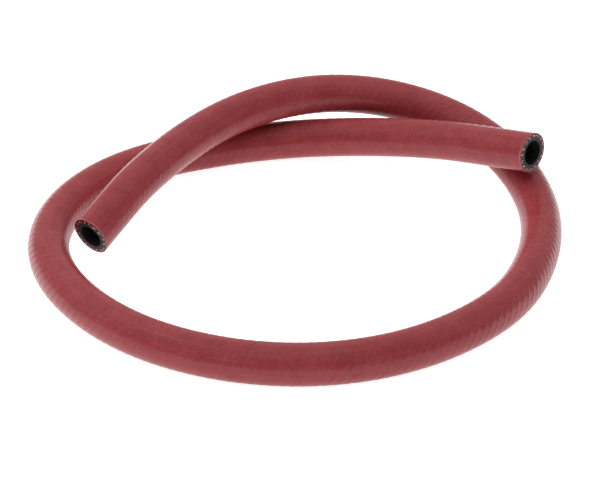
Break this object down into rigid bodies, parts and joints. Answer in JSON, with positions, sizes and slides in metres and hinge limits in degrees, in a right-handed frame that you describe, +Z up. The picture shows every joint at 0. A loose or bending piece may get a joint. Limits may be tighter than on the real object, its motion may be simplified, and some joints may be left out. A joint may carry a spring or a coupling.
{
  "type": "rubber hose",
  "caption": "Length of rubber hose with two opposed spirals of yarn between its tube and cover, cut nearly square at both ends and lying in one loop.",
  "frame": {"origin": "on the surface the hose lies on, under the middle of the loop", "axes": "+Z up from the surface; +X across the loop towards the higher cut end, -Y towards the side of the loop away from the two crossings"},
  "size_m": [0.2675, 0.2526, 0.0455],
  "materials": {
    "cover_rubber": "dull red extruded rubber with a faint imprint of the yarns",
    "tube_rubber": "matte black rubber with a smooth bore",
    "yarn": "off-white twisted textile yarn, cut short at the faces"
  },
  "bodies": {
    "root": {"inner_tube": "tube_rubber", "yarn_spiral_inner": "yarn", "yarn_spiral_outer": "yarn", "cover": "cover_rubber"}
  },
  "joints": []
}
